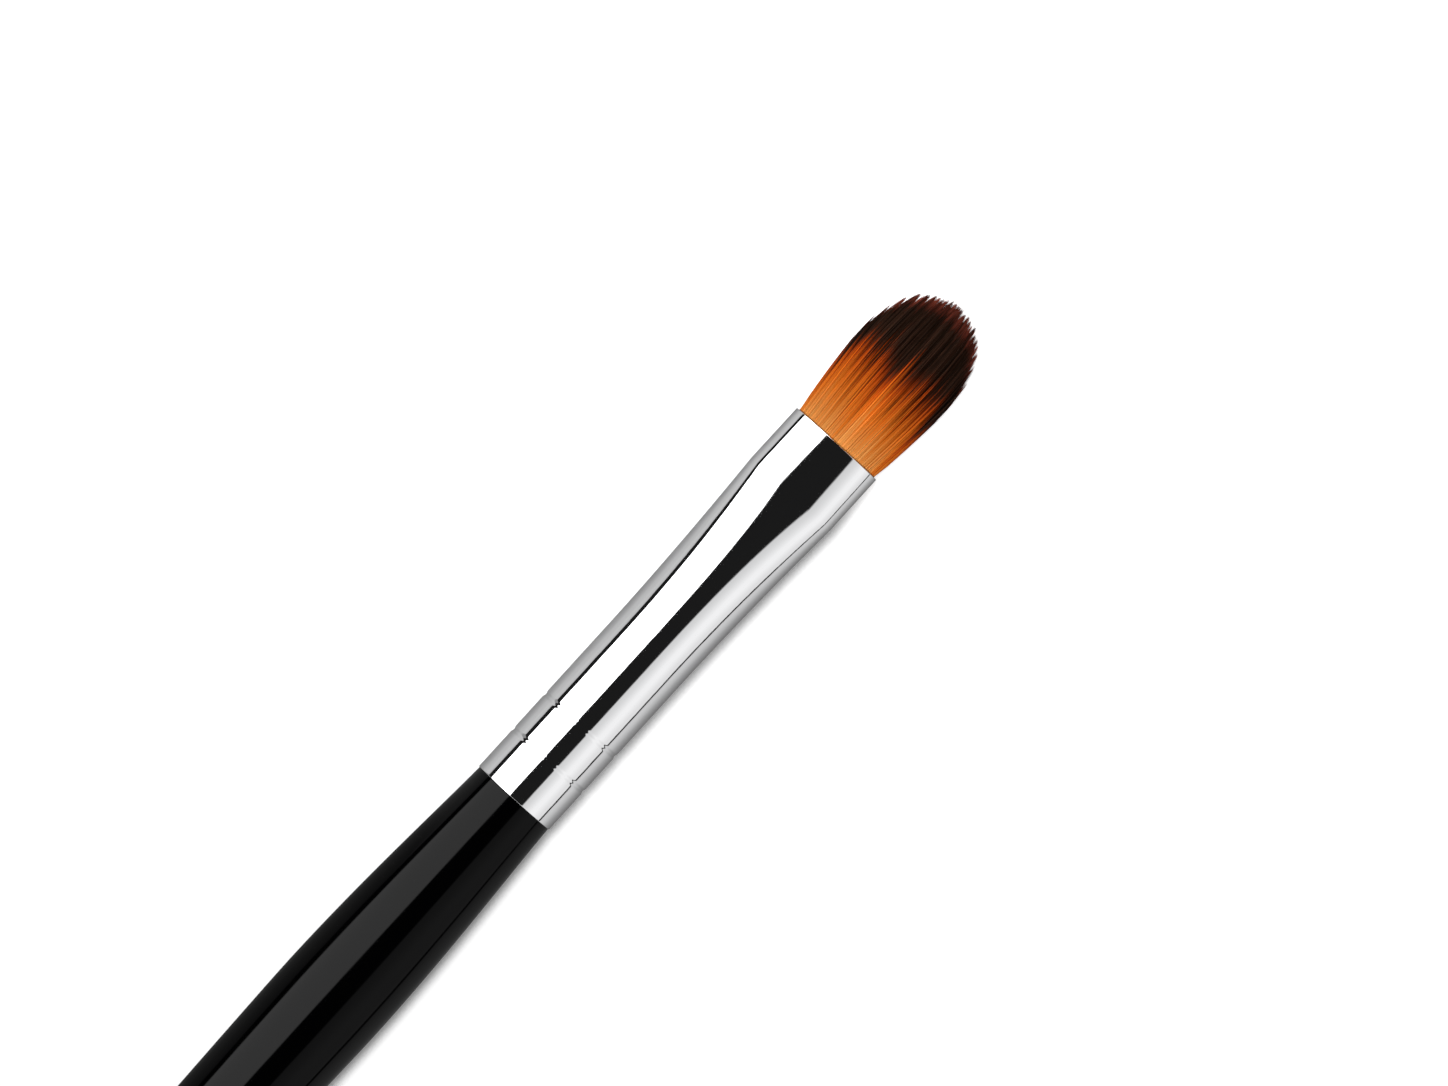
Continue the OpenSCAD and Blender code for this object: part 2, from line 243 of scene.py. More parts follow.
class RootSizes(bpy.types.PropertyGroup):
    """The root of the tuft, tied to a waist and set in the ferrule."""

    root_length: length("Length", "How far the root reaches back from the mouth", 11.5)
    end_inset: length("End inset", "Gap between the wall and the end", 0.3)
    waist_rear: length("Waist rear", "Rear end of the waist, from the mouth", 10)
    waist_front: length("Waist front", "Front end of the waist, from the mouth", 8)
    waist_inset: length("Waist inset", "Gap between the wall and the waist", 0.65)
    bundle_rear: length("Bundle rear", "Where the root fills the ferrule again", 5.6)
    bundle_middle: length("Bundle middle", "Place on the way from there to the front", 3)
    bundle_front: length("Bundle front", "Front of the root, from the mouth", 0.9)
    cap_inset: length("Cap inset", "Width of the rim round the root's flat ends", 0.4)
    segments: count("Segments", "Segments round the root", 96, 12)


class StudioSettings(bpy.types.PropertyGroup):
    """The floor, the light and the camera."""

    focal_length: share("Focal length", "Focal length of the camera in millimetres", 400.0, 1000.0)
    view_width: length("View width", "Width of the picture at the brush's height", 107.26)
    view_station: length("View place", "Place of the camera along the brush", 58.32)
    view_side: length("View side", "Place of the camera to the brush's left", 1.21)
    view_turn: share("View turn", "Turn of the brush in the picture, in degrees", 47.66, 180.0)
    floor_size: length("Floor size", "Width of the floor", 6000)
    key_strength: share("Key strength", "Strength of the soft light from above", 2.6, 50.0)
    key_tilt: share("Key tilt", "Angle of the soft light from straight above, in degrees", 6.5, 90.0)
    key_spread: share("Key spread", "Angle that the soft light fills, in degrees", 11.0, 90.0)
    ambient: share("Ambient", "Level of the light from all sides", 0.22, 5.0)


def mix(a, b, part):
    return a + (b - a) * part


def settings():
    return bpy.context.scene.eyeshadow_brush


def shoulder_x():
    """Place of the handle's shoulder along the brush, whose middle is the origin."""
    s = settings()
    total = s.handle.handle_length + s.ferrule.ferrule_length + s.tuft.tuft_length
    return s.handle.handle_length - total / 2


def axis_height():
    return settings().handle.belly_radius


def pressed(station):
    """0 where the ferrule is round, 1 from the crease to the mouth."""
    f = settings().ferrule
    crease = f.ferrule_length - f.mouth_band
    part = (station - f.flatten_start) / (crease - f.flatten_start)
    return min(1.0, max(0.0, part))


def crimp_dip(station):
    """How deep the crimp rings sink the ferrule's wall at a station."""
    f = settings().ferrule
    dip = 0.0
    for ring in range(f.crimps):
        away = abs(station - f.crimp_offset - ring * f.crimp_pitch) / (f.crimp_width / 2)
        if away < 1:
            dip = max(dip, f.crimp_depth * (1 + math.cos(math.pi * away)) / 2)
    return dip


def section_halves(station):
    """Half width, half thickness and exponent of the ferrule's outline at a station."""
    f = settings().ferrule
    gone = pressed(station)
    past = (station - f.ferrule_length + f.mouth_band) / f.mouth_band
    wide = mix(f.round_radius, f.mouth_width / 2, gone ** f.widen_power)
    if past > 0:
        thin = mix(f.crease_thickness, f.mouth_thickness, past) / 2
        return wide, thin, mix(f.crease_power, f.mouth_power, past)
    thin = mix(f.round_radius, f.crease_thickness / 2, gone ** f.press_power)
    return wide, thin, mix(2, f.crease_power, gone ** 3)


def signed_power(value, exponent):
    return math.copysign(abs(value) ** exponent, value)


def section_at(station, inset):
    """The ferrule's outline at a station, drawn in from its outer face: angle in, point out."""
    wide, thick, power = section_halves(station)
    inset = inset + crimp_dip(station)
    roll = math.radians(settings().ferrule.mouth_roll) * pressed(station)
    x = shoulder_x() + station
    axis = axis_height()

    def point(angle):
        y = (wide - inset) * signed_power(math.cos(angle), 2 / power)
        z = (thick - inset) * signed_power(math.sin(angle), 2 / power)
        y, z = rolled(y, z, roll)
        return Vector((x, y, axis + z))

    return point


def rolled(y, z, roll):
    """A place turned about the brush's axis, with numbers or with arrays."""
    return y * np.cos(roll) - z * np.sin(roll), y * np.sin(roll) + z * np.cos(roll)


def in_scene(name, data):
    """Adds an object with its mesh, lamp or camera to the scene."""
    thing = bpy.data.objects.new(name, data)
    bpy.context.scene.collection.objects.link(thing)
    return thing


def finished(name, bm, material, node, smooth_angle=35):
    """Turns a bmesh into a piece."""
    bmesh.ops.recalc_face_normals(bm, faces=bm.faces)
    mesh = bpy.data.meshes.new(name)
    bm.to_mesh(mesh)
    bm.free()
    placed(name, mesh, material, node, smooth_angle)


def placed(name, mesh, material, node, smooth_angle):
    """Makes a mesh a piece that rides on the brush's body, in place of a node's solid."""
    mesh.materials.append(material)
    mesh.shade_smooth()
    mesh.set_sharp_from_angle(angle=math.radians(smooth_angle))
    piece = in_scene(name, mesh)
    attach(piece, BODY)
    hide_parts(node)


def turned(profile, segments):
    """Spins a line of (station, radius) points round the brush's axis."""
    bm = bmesh.new()
    points = [
        bm.verts.new((shoulder_x() + station, 0, axis_height() + radius))
        for station, radius in profile
    ]
    edges = [bm.edges.new(pair) for pair in zip(points, points[1:])]
    bmesh.ops.spin(
        bm,
        geom=points + edges,
        cent=(0, 0, axis_height()),
        axis=(1, 0, 0),
        angle=math.tau,
        steps=segments,
        use_merge=True,
    )
    bmesh.ops.remove_doubles(bm, verts=bm.verts, dist=MERGE_GAP)
    return bm


def ring_stack(rings, sides):
    """A tube bent round from a flat grid: rings on a unit circle, ring k at height k."""
    bm = bmesh.new()
    bmesh.ops.create_grid(bm, x_segments=sides, y_segments=rings - 1, size=1.0)
    for vert in bm.verts:
        angle = math.pi * vert.co.x
        ring = round((vert.co.y + 1) / 2 * (rings - 1))
        vert.co = (math.cos(angle), math.sin(angle), ring)
    bmesh.ops.remove_doubles(bm, verts=bm.verts, dist=SEAM_GAP)
    return bm


def lofted(rings, sides, closed=False):
    """A tube through rings, each a function of the angle that gives a point."""
    bm = ring_stack(len(rings), sides)
    for vert in bm.verts:
        ring = round(vert.co.z)
        vert.co = rings[ring](math.atan2(vert.co.y, vert.co.x))
    if closed:
        bmesh.ops.remove_doubles(bm, verts=bm.verts, dist=MERGE_GAP)
    return bm


def spaced(first, last, steps):
    return [mix(first, last, i / steps) for i in range(steps + 1)]


def quarter(radius, steps):
    """How far the points of a quarter round lie back from its end and from its side."""
    turns = spaced(0, math.pi / 2, steps)[1:]
    return [(radius * (1 - math.sin(turn)), radius * (1 - math.cos(turn))) for turn in turns]


# Materials

# A mix node's sockets for a factor and two colours, and its output of a colour
COLOUR_SOCKETS = (0, 6, 7)
COLOUR_OUTPUT = 2


def new_material(name):
    material = bpy.data.materials.new(name)
    material.use_nodes = True
    tree = material.node_tree
    return material, tree, tree.nodes["Principled BSDF"]


def set_inputs(node, **values):
    """Sets inputs of a node by their names, with an underscore for each space."""
    for name, value in values.items():
        node.inputs[name.replace("_", " ")].default_value = value
    return node


def add(tree, kind, **inputs):
    return set_inputs(tree.nodes.new(kind), **inputs)


def link(tree, *pairs):
    for source, target in pairs:
        tree.links.new(source, target)


def curve_of(tree, factor, stops):
    """A colour ramp with stops of (place, colour or grey)."""
    ramp = tree.nodes.new("ShaderNodeValToRGB")
    elements = ramp.color_ramp.elements
    while len(elements) > 1:
        elements.remove(elements[-1])
    for index, (place, tint) in enumerate(stops):
        stop = elements[0] if index == 0 else elements.new(place)
        stop.position = place
        stop.color = (tint, tint, tint, 1) if isinstance(tint, (int, float)) else (*tint, 1)
    tree.links.new(factor, ramp.inputs["Fac"])
    return ramp.outputs["Color"]


def maths(tree, operation, *values):
    node = tree.nodes.new("ShaderNodeMath")
    node.operation = operation
    for socket, value in zip(node.inputs, values):
        if isinstance(value, (int, float)):
            socket.default_value = value
        else:
            tree.links.new(value, socket)
    return node.outputs["Value"]


def blended(tree, factor, a, b, mode="MIX"):
    """Mixes two colours, each a tuple or the output of a node."""
    node = tree.nodes.new("ShaderNodeMix")
    node.data_type = "RGBA"
    node.blend_type = mode
    for index, value in zip(COLOUR_SOCKETS, (factor, a, b)):
        socket = node.inputs[index]
        if isinstance(value, (int, float)):
            socket.default_value = value
        elif isinstance(value, tuple):
            socket.default_value = (*value, 1)
        else:
            tree.links.new(value, socket)
    return node.outputs[COLOUR_OUTPUT]


def fading(tree, value, start, end, low=0.0, high=1.0, smooth=False):
    """A value that goes from low to high while another goes from start to end."""
    node = tree.nodes.new("ShaderNodeMapRange")
    if smooth:
        node.interpolation_type = "SMOOTHSTEP"
    set_inputs(node, From_Min=start, From_Max=end, To_Min=low, To_Max=high)
    tree.links.new(value, node.inputs["Value"])
    return node.outputs["Result"]


def parts_of(tree, vector):
    """The X, Y and Z of a vector."""
    node = tree.nodes.new("ShaderNodeSeparateXYZ")
    tree.links.new(vector, node.inputs["Vector"])
    return node.outputs


def noise(tree, vector, scale, detail=2.0, roughness=0.5):
    node = add(tree, "ShaderNodeTexNoise", Scale=scale, Detail=detail, Roughness=roughness)
    tree.links.new(vector, node.inputs["Vector"])
    return node.outputs["Fac"]


def grain(tree, vector, along, across, detail=2.0, roughness=0.5):
    """Noise with one scale along the brush and another across it."""
    node = add(tree, "ShaderNodeMapping", Scale=(along, across, across))
    tree.links.new(vector, node.inputs["Vector"])
    return noise(tree, node.outputs["Vector"], 1.0, detail, roughness)


def object_place(tree):
    return tree.nodes.new("ShaderNodeTexCoord").outputs["Object"]


def handling_marks_group():
    """Faint smudges and hairlines of a polished part that has been handled."""
    name = "Handling marks"
    if name in bpy.data.node_groups:
        return bpy.data.node_groups[name]
    group = bpy.data.node_groups.new(name, "ShaderNodeTree")
    for label in ("Smudge", "Base Roughness", "Hairline"):
        group.interface.new_socket(label, in_out="INPUT", socket_type="NodeSocketFloat")
    for label in ("Roughness", "Height"):
        group.interface.new_socket(label, in_out="OUTPUT", socket_type="NodeSocketFloat")
    start = group.nodes.new("NodeGroupInput")
    end = group.nodes.new("NodeGroupOutput")
    place = object_place(group)
    smudges = noise(group, place, 260.0, 3.0, 0.6)
    soft = maths(group, "SMOOTH_MIN", maths(group, "MULTIPLY", smudges, smudges), 1.0, 0.2)
    rough = maths(group, "MULTIPLY_ADD", soft, start.outputs["Smudge"], start.outputs["Base Roughness"])
    lines = grain(group, place, 900.0, 16000.0, roughness=0.6)
    height = maths(group, "MULTIPLY", lines, start.outputs["Hairline"])
    link(group, (rough, end.inputs["Roughness"]), (height, end.inputs["Height"]))
    return group


def handled(tree, shader, tint, **marks):
    """Gives a shader a tint and the marks of handling, and gives back their height."""
    node = tree.nodes.new("ShaderNodeGroup")
    node.node_tree = handling_marks_group()
    set_inputs(node, **marks)
    link(
        tree,
        (tint, shader.inputs["Base Color"]),
        (node.outputs["Roughness"], shader.inputs["Roughness"]),
    )
    return node.outputs["Height"]


def bumped(tree, shader, height, strength, distance):
    """Lets a height show in a shader as bumps of up to a distance in metres."""
    bump = add(tree, "ShaderNodeBump", Strength=strength, Distance=distance)
    link(tree, (height, bump.inputs["Height"]), (bump.outputs["Normal"], shader.inputs["Normal"]))


def lacquer_material():
    """Gloss black lacquer: a sprayed film with a very slight swell, smudges and specks of dust."""
    material, tree, shader = new_material("Handle lacquer")
    place = object_place(tree)
    base = tuple(settings().handle.lacquer)
    worn = tuple(1.9 * c for c in base)
    dust = (0.02, 0.02, 0.02)
    tint = blended(tree, noise(tree, place, 90.0, 3.0), base, worn)
    specks = curve_of(tree, noise(tree, place, 5200.0, 1.0), ((0.79, 0.0), (0.83, 1.0)))
    tint = blended(tree, maths(tree, "MULTIPLY", specks, 0.25), tint, dust)
    handled(tree, shader, tint, Smudge=0.10, Base_Roughness=0.055, Hairline=0.0)
    set_inputs(shader, IOR=1.2)
    swell = grain(tree, place, 240.0, 420.0, detail=1.0)
    bumped(tree, shader, swell, strength=0.25, distance=0.00002)
    return material


def plating_material():
    """Bright plating on drawn tube, with faint draw lines along it and slight smudges."""
    material, tree, shader = new_material("Ferrule plating")
    place = object_place(tree)
    bright = tuple(settings().ferrule.plating)
    dull = tuple(0.97 * c for c in bright)
    tint = blended(tree, noise(tree, place, 420.0, 3.0), dull, bright)
    lines = handled(tree, shader, tint, Smudge=0.045, Base_Roughness=0.035, Hairline=1.0)
    set_inputs(shader, Metallic=1.0)
    bumped(tree, shader, lines, strength=0.12, distance=0.000004)
    return material


def attribute(tree, name):
    node = tree.nodes.new("ShaderNodeAttribute")
    node.attribute_name = name
    return node.outputs["Fac"]


# Painted shade: the filaments are darkened in a short stretch past the mouth, where the ferrule's lip
# shades them, and their grain varies their tone
MOUTH_SHADE = 0.14 * MM
MOUTH_LIGHT = 0.12
FINE_TONE = 0.24


def filament_material():
    """Dyed filaments: golden at the root, orange, then dipped in dark dye, with reddish tips, and painted
    shade at the mouth.
    """
    material, tree, shader = new_material("Dyed filament")
    d = settings().dye
    golden = mix(np.array(d.root_tan), np.array(d.orange), 0.5)
    # Shares of the tuft's length, and the colour at each
    stops = (
        (0.0, tuple(d.root_tan)),
        (0.10, tuple(golden)),
        (0.22, tuple(d.orange)),
        (0.35, tuple(d.amber)),
        (0.44, tuple(d.copper)),
        (0.50, tuple(d.russet)),
        (0.545, tuple(d.umber)),
        (0.60, tuple(d.dyed)),
        (1.0, tuple(d.dyed)),
    )
    body = curve_of(tree, attribute(tree, "dye"), stops)
    tip = curve_of(tree, attribute(tree, "end"), ((0.91, 0.0), (0.98, 1.0)))
    body = blended(tree, tip, body, tuple(d.tips))
    place = object_place(tree)
    # painted shade: a thin dark band on the filaments just past the mouth
    mouth = shoulder_x() + settings().ferrule.ferrule_length
    mouth_painted_shade = fading(tree, parts_of(tree, place)["X"], mouth, mouth + MOUTH_SHADE, low=MOUTH_LIGHT)
    # the tone attribute holds the filaments' random tone and also the streaks' painted shade and
    # highlights
    tone = maths(tree, "ADD", attribute(tree, "tone"), TONE_FLOOR)
    fine = grain(tree, place, 900.0, 24000.0)
    shade = maths(tree, "MULTIPLY_ADD", fine, FINE_TONE, tone)
    shade = maths(tree, "MULTIPLY", shade, mouth_painted_shade)
    body = blended(tree, 1.0, body, grey(tree, shade), "MULTIPLY")
    tree.links.new(body, shader.inputs["Base Color"])
    set_inputs(
        shader, Roughness=0.42, Specular_IOR_Level=0.10, Specular_Tint=(0.90, 0.50, 0.30, 1.0)
    )
    return material


def grey(tree, value):
    node = tree.nodes.new("ShaderNodeCombineColor")
    for socket in node.inputs:
        tree.links.new(value, socket)
    return node.outputs["Color"]


def plain_stuff(name, dark, light, along, across, rough, bump, distance):
    """A material of two close tones over a grain, for the pieces inside the ferrule."""
    material, tree, shader = new_material(name)
    cloud = grain(tree, object_place(tree), along, across, detail=3.0)
    tree.links.new(blended(tree, cloud, dark, light), shader.inputs["Base Color"])
    set_inputs(shader, Roughness=rough)
    bumped(tree, shader, cloud, bump, distance)
    return material


def sweep_material():
    """A white floor with painted reflection strips that only the brush's reflections see, so that its
    curves show, and a painted pool of light round the mouth.
    """
    material, tree, shader = new_material("White sweep")
    tree.nodes.remove(shader)
    paths = tree.nodes.new("ShaderNodeLightPath")
    camera_ray = paths.outputs["Is Camera Ray"]
    place = object_place(tree)
    parts = parts_of(tree, place)
    span = (PAINTED_REFLECTION_STRIPS[-1][0] - PAINTED_REFLECTION_STRIPS[0][0]) * MM
    side = maths(tree, "MULTIPLY_ADD", parts["Y"], 1 / span, 0.5)
    # painted reflection: strips on the floor that only reflections see, with painted shade under the
    # brush
    painted_reflection = curve_of(tree, side, [(0.5 + left * MM / span, level) for left, level in PAINTED_REFLECTION_STRIPS])
    shoulder = shoulder_x()
    # painted shade: the reflected floor is darkened on the handle's left
    painted_shade_beside = fading(tree, parts["X"], shoulder - DIM_START, shoulder - DIM_END, high=DIM_SHARE)
    left = maths(tree, "GREATER_THAN", parts["Y"], 0.0)
    painted_reflection = blended(tree, maths(tree, "MULTIPLY", painted_shade_beside, left), painted_reflection, (0.0, 0.0, 0.0))
    seen = blended(tree, camera_ray, FLOOR_BOUNCE, FLOOR_SEEN)
    seen = blended(tree, paths.outputs["Is Glossy Ray"], seen, painted_reflection)
    paper = maths(tree, "MULTIPLY", noise(tree, place, 40.0, 3.0), GRAIN_SHARE)
    seen = blended(tree, paper, seen, FLOOR_GRAIN)
    diffuse = tree.nodes.new("ShaderNodeBsdfDiffuse")
    glow = tree.nodes.new("ShaderNodeEmission")
    # painted pool of light: the floor glows brighter round the mouth so that the tuft's shadow fades
    mouth = shoulder + settings().ferrule.ferrule_length
    ends = (mouth - GLOW_BEFORE, mouth + GLOW_PAST)
    painted_light_pool = fading(tree, parts["X"], *ends, GLOW_WEAK, GLOW_FULL, smooth=True)
    level = maths(tree, "MULTIPLY", camera_ray, painted_light_pool)
    both = tree.nodes.new("ShaderNodeAddShader")
    link(
        tree,
        (seen, diffuse.inputs["Color"]),
        (level, glow.inputs["Strength"]),
        (diffuse.outputs[0], both.inputs[0]),
        (glow.outputs[0], both.inputs[1]),
        (both.outputs[0], tree.nodes["Material Output"].inputs["Surface"]),
    )
    return material


# Pieces

# Steps along the handle's profile, from its tail on
TAIL_STEPS = 20
TAPER_STEPS = 90
SWELL_STEPS = 60
SHOULDER_STEPS = 5
TENON_STEPS = 60
# Steps along the ferrule, from its rear on, and round half of its rim
CRIMP_STEPS = 130
BARREL_STEPS = 12
PRESS_STEPS = 80
BAND_STEPS = 16
RIM_STEPS = 4
# The bore has one ring for this many outside
BORE_STRIDE = 3


class BRUSH_OT_handle(bpy.types.Operator):
    """Turn the handle with its belly, rounded tail and tenon"""

    bl_idname = "brush.handle"
    bl_label = "Handle"

    def execute(self, context):
        h = settings().handle
        f = settings().ferrule
        tail = []
        for angle in spaced(0, math.pi / 2, TAIL_STEPS)[:-1]:
            station = -h.handle_length + h.tail_round * (1 - math.cos(angle))
            tail.append((station, h.tail_radius * math.sin(angle)))
        taper_length = h.handle_length - h.belly_offset - h.tail_round
        taper = []
        for part in spaced(1, 0, TAPER_STEPS):
            radius = mix(h.belly_radius, h.tail_radius, part ** h.taper_power)
            taper.append((-h.belly_offset - taper_length * part, radius))
        swell = []
        for part in spaced(1, 0, SWELL_STEPS)[1:]:
            rise = math.sin(math.pi / 2 * part) ** h.swell_power
            radius = mix(h.shoulder_radius, h.belly_radius, rise)
            swell.append((-h.belly_offset * part, radius))
        swell[-1] = (-h.shoulder_round, swell[-1][1])
        rounding = quarter(h.shoulder_round, SHOULDER_STEPS)
        shoulder = [(-reach, h.shoulder_radius - drop) for reach, drop in rounding]
        inset = f.wall + h.glue_film
        tenon = []
        for station in spaced(0, h.tenon_length - h.tenon_chamfer, TENON_STEPS):
            tenon.append((station, f.round_radius - inset - crimp_dip(station)))
        tenon.append((h.tenon_length, tenon[-1][1] - h.tenon_chamfer))
        tenon.append((h.tenon_length, 0.0))
        bm = turned(tail + taper + swell + shoulder + tenon, h.segments)
        finished("handle_turned", bm, lacquer_material(), "handle")
        return {"FINISHED"}


class BRUSH_OT_ferrule(bpy.types.Operator):
    """Draw the ferrule, crimp it and press its front to a flat oval"""

    bl_idname = "brush.ferrule"
    bl_label = "Ferrule"

    def execute(self, context):
        f = settings().ferrule
        crease = f.ferrule_length - f.mouth_band
        crimps_end = f.crimp_offset + (f.crimps - 1) * f.crimp_pitch + f.crimp_width
        stations = spaced(f.rim_round, crimps_end, CRIMP_STEPS)
        stations += spaced(crimps_end, f.flatten_start, BARREL_STEPS)[1:]
        stations += spaced(f.flatten_start, crease - f.crease_round, PRESS_STEPS)[1:]
        stations.append(crease)
        stations += spaced(crease + f.crease_round, f.ferrule_length - f.rim_round, BAND_STEPS)
        outer = [(s, 0.0) for s in stations]
        inner = [(s, f.wall) for s in reversed(stations[::BORE_STRIDE])]

        def lip(end, towards):
            """The rounded edge of the wall at one end, from its outer face to its inner one."""
            rounding = quarter(f.rim_round, RIM_STEPS)
            points = [(end - towards * reach, drop) for reach, drop in rounding]
            back = [(s, f.wall - i) for s, i in reversed(points)]
            return points + back

        mouth = lip(f.ferrule_length, 1)
        heel = lip(0.0, -1)[::-1]
        line = outer + mouth + inner + heel
        line.append(outer[0])
        bm = lofted([section_at(s, i) for s, i in line], f.segments, closed=True)
        plating = plating_material()
        finished("ferrule_drawn", bm, plating, "ferrule", smooth_angle=25)
        return {"FINISHED"}


# A filament's rings and sides, and the power that crowds its rings towards its tip
STRAND_RINGS = 9
STRAND_SIDES = 5
RING_POWER = 0.9
# How early a filament tapers, and the share of its radius that its tip keeps
STRAND_TAPER = 0.75
TIP_SHARE = 0.04
# Powers with which clumps gather and filaments sway towards their ends
GATHER_POWER = 1.3
SWAY_POWER = 1.5
# Scatter of the filaments' places, as a share of the distance between them
PLACE_SCATTER = 0.35
# How much lower filaments end at the flat faces, how much higher at the sides and everywhere, and
# the scatter of their ends
FACE_DROP = 0.35 * MM
SIDE_LIFT = 0.28 * MM
SIDE_POWER = 1.5
END_LIFT = 0.18 * MM
END_SCATTER = 0.07 * MM
# How far the tuft thins at its end, 1 being to nothing, and rounds to find where it is cut
ROUND_END = 0.985
CUT_ROUNDS = 24
# Least and most of a lock's width against the mean, and the scatter at the locks' borders
LOCK_SHARES = (0.45, 1.55)
LOCK_SCATTER = 0.012
# The tones' middle, and their spread between clumps and between filaments
MIDDLE_TONE = 0.5
CLUMP_TONES = 0.025
STRAND_TONES = 0.075
# Painted shade and painted highlights: each streak darkens a lane of filaments as the shade between
# locks, or lightens it when its darkness is below 0
# Least and most of a thin streak's place and width, as shares of the half width, its start above
# the mouth, its darkness, and how much lower the dye is beside it, each with its unit
STREAK_RANGES = (
    (-0.97, 0.97, 1),
    (0.004, 0.008, 1),
    (1.6, 6.0, MM),
    (-0.50, 1.0, 1),
    (-1.00, 1.10, MM),
)
# Length over which a streak comes in, and the place and width of the dye's tongue beside it
STREAK_RISE = 1.5 * MM
TONGUE_OFFSET = 0.022
TONGUE_WIDTH = 1.3
# Start and width of the zones of the edges and of the right side, as shares of the half width,
# of the zone where the tones part, and of the dye's dark, as shares of the tuft's length
EDGE_ZONE = (0.80, 0.15)
RIGHT_ZONE = (0.35, 0.35)
TONE_ZONE = (1.5 * MM, 2 * MM)
DARK_ZONE = (0.46, 0.12)
# How much further the tones part there, and how much of them shows
TONE_SPREAD = 1.3
DARK_SPREAD = 1.8
TONE_GAIN = 0.9
# In the dye's dark the streaks' painted shade and painted highlights gain by a power, to both sides of a
# brightness that stays
DARK_POWER = 1.4
DARK_PIVOT = 0.8
# Limits of the painted brightness of the streaks
MOST_LIGHT = 1.3
LEAST_LIGHT = 0.12


def strand_template(rings, sides):
    """One upright filament: a stack of rings with a closed point, ring k at height k."""
    bm = ring_stack(rings, sides)
    tip = [v for v in bm.verts if round(v.co.z) == rings - 1]
    bmesh.ops.pointmerge(bm, verts=tip, merge_co=(0, 0, rings - 1))
    bmesh.ops.recalc_face_normals(bm, faces=bm.faces)
    return bm


def copied(bm, times):
    """A mesh of many copies of a bmesh, each copy's points in one unbroken run."""
    block = bpy.data.meshes.new("block")
    mesh = bpy.data.meshes.new("copies")
    bm.to_mesh(block)
    bm.free()
    many = bmesh.new()
    while times:
        if times & 1:
            many.from_mesh(block)
        double = bmesh.new()
        double.from_mesh(block)
        double.from_mesh(block)
        double.to_mesh(block)
        double.free()
        times >>= 1
    many.to_mesh(mesh)
    many.free()
    bpy.data.meshes.remove(block)
    return mesh


def tuft_places(amount, rng):
    """Places of the filaments' roots in the mouth, as shares of its half width and half thickness."""
    golden = math.pi * (3 - math.sqrt(5))
    index = np.arange(amount)
    radius = np.sqrt((index + 0.5) / amount)
    turn = index * golden
    spots = np.stack([radius * np.cos(turn), radius * np.sin(turn)], axis=1)
    spots += rng.normal(0, PLACE_SCATTER / math.sqrt(amount), spots.shape)
    reach = np.linalg.norm(spots, axis=1)
    over = np.maximum(reach, 1.0)
    return spots / over[:, None]


def within(value, zone):
    """0 before a zone of (start, width), rising evenly to 1 through it, and 1 past it."""
    start, width = zone
    return np.clip((value - start) / width, 0, 1)


def fan_halves(height):
    """Half width and half thickness of the tuft at heights above the mouth."""
    s = settings()
    t = s.tuft
    f = s.ferrule
    inset = f.wall + t.root_clearance
    root_wide = f.mouth_width / 2 - inset
    root_thick = f.mouth_thickness / 2 - inset
    level = np.clip(height / t.tuft_shoulder, 0, 1)
    rise = mix(np.sin(level * math.pi / 2), level, t.straightness)
    past = within(height, (t.tuft_shoulder, t.tuft_length - t.tuft_shoulder))
    wide = mix(root_wide, t.fullness * t.tuft_width / 2, rise)
    wide = wide + t.lip_spread * (1 - rise) * np.clip(height / t.lip_reach, 0, 1)
    wide = wide * (1 - t.end_closing * past ** 3)
    thick = mix(root_thick, t.tuft_thickness / 2 - t.filament_radius, rise)
    thick = thick * np.sqrt(1 - ROUND_END * past ** 2)
    return wide, thick


def cut_heights(side):
    """Height at which the oval end cuts a filament that stands at a share of the way to the side."""
    t = settings().tuft
    height = np.full(side.shape, t.tuft_shoulder)
    for _ in range(CUT_ROUNDS):
        wide, _thick = fan_halves(height)
        level = np.abs(side) * wide / (t.tuft_width / 2)
        height = mix(t.tuft_shoulder, t.tuft_length, np.sqrt(np.clip(1 - level ** 2, 0, 1)))
    return height


def lock_ends(side, rng):
    """How far each filament's tip and the middle of its lock lie from where they would without locks."""
    t = settings().tuft
    walls = np.cumsum(rng.uniform(*LOCK_SHARES, t.teeth + 1))
    walls = (walls - walls[0]) / (walls[-1] - walls[0]) * 2 - 1
    lean = side + rng.normal(0, LOCK_SCATTER, len(side))
    tooth = np.clip(np.searchsorted(walls, lean) - 1, 0, t.teeth - 1)
    middle = (walls[tooth] + walls[tooth + 1]) / 2
    half = (walls[tooth + 1] - walls[tooth]) / 2
    off_middle = np.clip(np.abs(side - middle) / half, 0, 1)
    shorter = rng.uniform(-t.tooth_scatter, 0.0, t.teeth)
    return shorter[tooth] - t.tooth_depth * off_middle ** 3, middle - side


